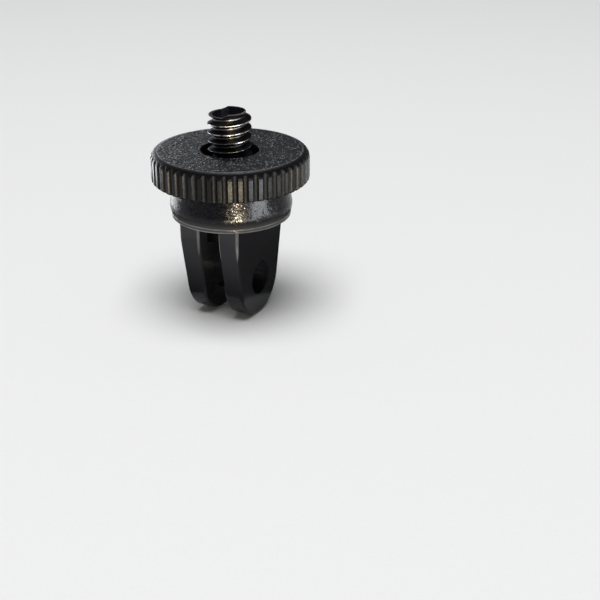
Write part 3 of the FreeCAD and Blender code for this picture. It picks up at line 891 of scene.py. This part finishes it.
# Painted shade on the prongs' outer sides.
outer_side = ramp(tree, aside, 4.4 * MM, 4.55 * MM)
prong_shaded_colour = blend_colour(tree, outer_side, prong_shaded_colour, OUTER_SIDE_SHADE_COLOUR)
on_collar = ramp(tree, level, (COLLAR_BOTTOM - 0.15) * MM, (COLLAR_BOTTOM - 0.05) * MM)
off_collar = do_sum(tree, "SUBTRACT", 1.0, on_collar)
# Painted reflection of what stands below, paler under the belly.
under_belly_reflection = ramp(tree, level, (COLLAR_BOTTOM + 2.1) * MM, (COLLAR_BOTTOM + 0.4) * MM)
collar_colour = blend_colour(tree, under_belly_reflection,
                             blend_colour(tree, clouds["Cloud"], *COLLAR_COLOURS),
                             UNDER_BELLY_REFLECTION_COLOUR)
# The prongs' colour here carries painted light and shade.
moulded = blend_colour(tree, on_collar, prong_shaded_colour, collar_colour)

# %% [markdown]
# The lip's two edges and the prongs' front edges are painted pale as painted highlights. Each of
# these lines is a band about its known level or distance, and slow clouds keep it uneven.

# %% Painted highlights on the base's edges
# The pale colour of the painted highlights on the base's edges.
EDGE_HIGHLIGHT_COLOUR = (0.36, 0.35, 0.34)
LIP_TOP = COLLAR_BOTTOM + LIP_HEIGHT
PRONG_OUTSIDE = SLOT_HALF + ROOT_THICKNESS

outermost = ramp(tree, radius, (LIP_RADIUS - 0.3) * MM, (LIP_RADIUS - 0.2) * MM)
lip_highlight_lines = largest(tree, band(tree, level, (COLLAR_BOTTOM + 0.08) * MM, 0.1 * MM, 0.06 * MM),
                    band(tree, level, (LIP_TOP - 0.02) * MM, 0.05 * MM, 0.06 * MM))
corners = largest(tree, band(tree, aside, SLOT_HALF * MM, 0.2 * MM, 0.15 * MM),
                  band(tree, aside, PRONG_OUTSIDE * MM, 0.25 * MM, 0.15 * MM))
front_and_back = ramp(tree, ahead, (PRONG_HALF_WIDTH - 0.5) * MM, (PRONG_HALF_WIDTH - 0.25) * MM)
lines = largest(tree, times(tree, lip_highlight_lines, outermost),
                times(tree, corners, front_and_back, off_collar))
# Painted highlights along the lip's edges and the prongs' front edges.
painted_edge_highlight = times(tree, lines, ramp(tree, clouds["Cloud"], 0, 1, 0.5, 1.0))
tree.links.new(blend_colour(tree, painted_edge_highlight, moulded, EDGE_HIGHLIGHT_COLOUR), shader.inputs["Base Color"])

# %% [markdown]
# The base's mould had a much finer grain than the wheel's. It only shows where a highlight breaks
# up into sparks on the collar.

# %% Gloss and grain of the base
sparkling = times(tree, grain["Speck"], on_collar)
gloss = times(tree, ramp(tree, sparkling, 0.0, 1.0, 0.2, 0.12),
              ramp(tree, clouds["Fine"], 0.0, 1.0, 0.85, 1.1))
tree.links.new(gloss, shader.inputs["Roughness"])
shader.inputs["Specular IOR Level"].default_value = PLASTIC_GLOSS
uneven = times(tree, ramp(tree, on_collar, 0, 1, 0.1, 1.0),
               ramp(tree, clouds["Cloud"], 0, 1, 0.5, 1.0))
bump = add_bump(tree, shader, times(tree, grain["Height"], uneven), 0.008 * MM)
add_glitter(tree, place, bump, 6200.0, on_collar, 0.32)
dress(mount_base, base_plastic)

# %% [markdown]
# ## Blackened steel, worn bright
#
# The stud was blackened, and every camera that was screwed on has rubbed the crests of its thread
# bright. The distance from the axis says what is a crest. The rims of the tip and of its step are
# worn too, a little steel shines in the roots, and the flat end stayed black.

# %% Finish of the stud
DARK_STEEL = ((0.02, 0.02, 0.021), (0.07, 0.069, 0.072))
END_FACE_COLOUR = (0.006, 0.006, 0.007)
WORN_COLOUR = (0.45, 0.44, 0.42)
STEEL_TINT = (0.4, 0.4, 0.42, 1)
STEP_LEVEL = STUD_TIP - STEP_DEPTH

stud_steel, tree, shader, place = new_material("stud_steel", metallic=1.0)
radius, _, _, level = distances(tree, place)
clouds = use_group(tree, cloud_group, place, Scale=900.0)
patchy = times(tree, ramp(tree, radius, 3.04 * MM, 3.12 * MM),
               ramp(tree, clouds["Cloud"], 0.2, 0.8, 0.1, 1.0))
high_rim = times(tree, ramp(tree, level, (STUD_TIP - 0.16) * MM, STUD_TIP * MM),
                 ramp(tree, radius, 2.2 * MM, 2.35 * MM))
low_rim = times(tree, band(tree, level, (STEP_LEVEL - 0.05) * MM, 0.06 * MM, 0.05 * MM),
                ramp(tree, radius, 2.4 * MM, 2.5 * MM))
root = times(tree, ramp(tree, radius, 2.5 * MM, 2.4 * MM, 0.0, 0.06),
             ramp(tree, level, (STUD_TIP - 0.5) * MM, (STUD_TIP - 0.7) * MM))
worn = largest(tree, patchy, root, high_rim, low_rim)
end_face = times(tree, ramp(tree, radius, 2.45 * MM, 2.3 * MM),
                 ramp(tree, level, (STUD_TIP - 0.65) * MM, (STUD_TIP - 0.55) * MM))
dark = blend_colour(tree, end_face, blend_colour(tree, clouds["Fine"], *DARK_STEEL),
                    END_FACE_COLOUR)
tree.links.new(blend_colour(tree, worn, dark, WORN_COLOUR), shader.inputs["Base Color"])
roughness = largest(tree, ramp(tree, worn, 0.0, 1.0, 0.3, 0.2), times(tree, end_face, 0.55))
tree.links.new(roughness, shader.inputs["Roughness"])
add_bump(tree, shader, clouds["Fine"], 0.01 * MM, 0.6)
shader.inputs["Specular Tint"].default_value = STEEL_TINT
dress(camera_stud, stud_steel)

# %% [markdown]
# ## Turned brass
#
# The insert's solid is the right shape, so it stays and only gets its finish: brass with the fine
# rings that a lathe leaves. A sine of the distance from the axis draws them.

# %% Finish of the insert
BRASS_COLOURS = ((0.50, 0.37, 0.16), (0.66, 0.52, 0.27))
RING_PITCH = 0.06

insert_brass, tree, shader, place = new_material("insert_brass", metallic=1.0)
radius, _, _, _ = distances(tree, place)
clouds = use_group(tree, cloud_group, place, Scale=500.0)
rings = do_sum(tree, "SINE", times(tree, radius, 2 * math.pi / (RING_PITCH * MM)))
tree.links.new(blend_colour(tree, clouds["Cloud"], *BRASS_COLOURS), shader.inputs["Base Color"])
tree.links.new(ramp(tree, clouds["Fine"], 0.0, 1.0, 0.25, 0.4), shader.inputs["Roughness"])
add_bump(tree, shader, rings, 0.004 * MM, 0.5)
dress(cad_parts["wheel_insert"], insert_brass)

# %% [markdown]
# ## Floor and mat
#
# The floor is pale paper. Reflected from below it would wash the prongs out, where the photograph
# shows them dark. So a ring of dark cloth lies on the floor as painted shade that only reflections
# see: the camera and the soft light pass through it.

# %% The floor
FLOOR_LEVEL = PRONG_END - 0.02
FLOOR_RADIUS = 1500
PAPER_GREYS = ((0.88, 0.88, 0.88), (0.90, 0.90, 0.90))


def matte_material(name, first, second):
    """A matte material between two colours, for things that aren't part of the object."""
    material, tree, shader, place = new_material(name)
    clouds = use_group(tree, cloud_group, place, Scale=400.0)
    tree.links.new(blend_colour(tree, clouds["Fine"], first, second), shader.inputs["Base Color"])
    shader.inputs["Roughness"].default_value = 0.9
    shader.inputs["Specular IOR Level"].default_value = 0.0
    return material


bm = bmesh.new()
bmesh.ops.create_circle(bm, cap_ends=True, segments=ROUND_SEGMENTS, radius=FLOOR_RADIUS * MM)
bmesh.ops.translate(bm, verts=bm.verts, vec=(0, 0, FLOOR_LEVEL * MM))
floor = make_piece("floor", bm)
dress(floor, matte_material("floor_paper", *PAPER_GREYS))

# %% [markdown]
# The mat starts a little outside the prongs. It lies just above the paper, so that the two
# surfaces don't share a plane.

# %% The dark mat, painted shade for reflections
MAT_INSIDE, MAT_OUTSIDE = 9, 40
MAT_LEVEL = FLOOR_LEVEL + 0.005
# The mat's dark greys are painted shade, seen only in reflections.
SHADE_MAT_GREYS = ((0.01, 0.01, 0.01), (0.02, 0.02, 0.02))

bm = bmesh.new()
spin_outline(bm, [(MAT_INSIDE, MAT_LEVEL), (MAT_OUTSIDE, MAT_LEVEL)], 16, 4, closed=False)
mat = make_piece("reflection_shade_mat", bm)
dress(mat, matte_material("reflection_shade_cloth", *SHADE_MAT_GREYS))
mat.visible_camera = False
mat.visible_diffuse = False
mat.visible_shadow = False

# %% [markdown]
# ## World and lamps
#
# A black object shows its form by what it reflects. One large soft lamp overhead lights the whole,
# and the world is dim, so that the black stays black.

# %% The world
SKY_COLOUR, SKY_STRENGTH = (0.86, 0.88, 0.9, 1), 0.16

world = bpy.data.worlds.new("studio")
scene.world = world
world.use_nodes = True
background = world.node_tree.nodes["Background"]
background.inputs["Color"].default_value = SKY_COLOUR
background.inputs["Strength"].default_value = SKY_STRENGTH
print("world strength:", SKY_STRENGTH)

# %% [markdown]
# Around the object stand small bright cards, which a photographer would use to draw the
# highlights. A small warm one in front makes the spark on the collar, and a cool one on the right
# the pale streak beside it. Warm and pale bands round the front give the upright faces their
# glints, two cards on the left draw the edges there, and one high behind makes the top glitter.
# Only glossy surfaces see them, so that the floor stays even. The spark's and the streak's cards
# would flood the wheel's flutes, so light linking keeps these two to the base and the stud.

# %% Lamps and cards
WHITE = (1.0, 1.0, 1.0)
WARM = (1.0, 0.84, 0.58)
COOL = (0.93, 0.96, 1.0)
BELOW_WHEEL_ONLY = ("warm_front", "cool_right")


def add_panel(name, azimuth, elevation, distance, level, width, height, glow, colour=WHITE):
    """A glowing panel that faces the stud's axis at a level. Angles in degrees, sizes in mm.

    A glow of 1 is as bright as white paper in this light.
    """
    lamp = bpy.data.lights.new(name, "AREA")
    lamp.shape = "RECTANGLE"
    lamp.size = width * MM
    lamp.size_y = height * MM
    lamp.energy = glow * math.pi * width * height * MM * MM
    lamp.color = colour
    holder = bpy.data.objects.new(name, lamp)
    scene.collection.objects.link(holder)
    holder.visible_camera = False
    turn, rise = math.radians(azimuth), math.radians(elevation)
    away = Vector((math.sin(turn) * math.cos(rise), -math.cos(turn) * math.cos(rise),
                   math.sin(rise)))
    holder.location = (Vector((0, 0, level)) + away * distance) * MM
    holder.rotation_euler = away.to_track_quat("Z", "Y").to_euler()
    return holder


overhead = add_panel("overhead", 20, 78, 900, 12, 600, 600, 7.0)
overhead.visible_glossy = False
cards = [
    add_panel("warm_front", 41, 0, 60, 4.5, 8, 6, 400, WARM),
    add_panel("warm_ends", 41, 0, 60, 25, 26, 4, 22, WARM),
    add_panel("warm_band", 33, 0, 60, 1, 30, 8, 24, WARM),
    add_panel("pale_band", 66, 0, 60, 1, 30, 8, 15, COOL),
    add_panel("pale_side", 100, 0, 60, 1, 30, 8, 4, COOL),
    add_panel("cool_right", 80, 0, 60, 15, 34, 12, 19, COOL),
    add_panel("left_side", -105, 0, 65, 12, 48, 34, 4.2, COOL),
    add_panel("back_left", -120, 0, 70, 30, 60, 16, 2.5, COOL),
    add_panel("high_back", -155, 62, 200, 12, 34, 26, 50),
]
below_wheel = bpy.data.collections.new("lit_by_small_cards")
below_wheel.objects.link(mount_base)
below_wheel.objects.link(camera_stud)
for card in cards:
    card.visible_diffuse = False
    if card.name in BELOW_WHEEL_ONLY:
        card.light_linking.receiver_collection = below_wheel
print("cards:", len(cards))

# %% [markdown]
# ## The camera
#
# The photograph was taken from the front right, a little above the wheel. The place and the aim
# were fitted to the edges of the round pieces in the picture.

# %% The camera
LENS, SENSOR_WIDTH = 72, 36
CAMERA_PLACE = (80.94, -143.01, 71.30)
CAMERA_AIM = (11.605, -1.073, -1.864)
NEAREST = 5

camera_data = bpy.data.cameras.new("camera")
camera = bpy.data.objects.new("camera", camera_data)
scene.collection.objects.link(camera)
camera_data.lens = LENS
camera_data.sensor_width = SENSOR_WIDTH
camera_data.clip_start = NEAREST * MM
camera.location = Vector(CAMERA_PLACE) * MM
aim = Vector(CAMERA_AIM) * MM
camera.rotation_euler = (aim - camera.location).to_track_quat("-Z", "Y").to_euler()
scene.camera = camera
scene.view_settings.view_transform = "Standard"
print("camera to the stud's axis in mm:", round(camera.location.length / MM, 1))
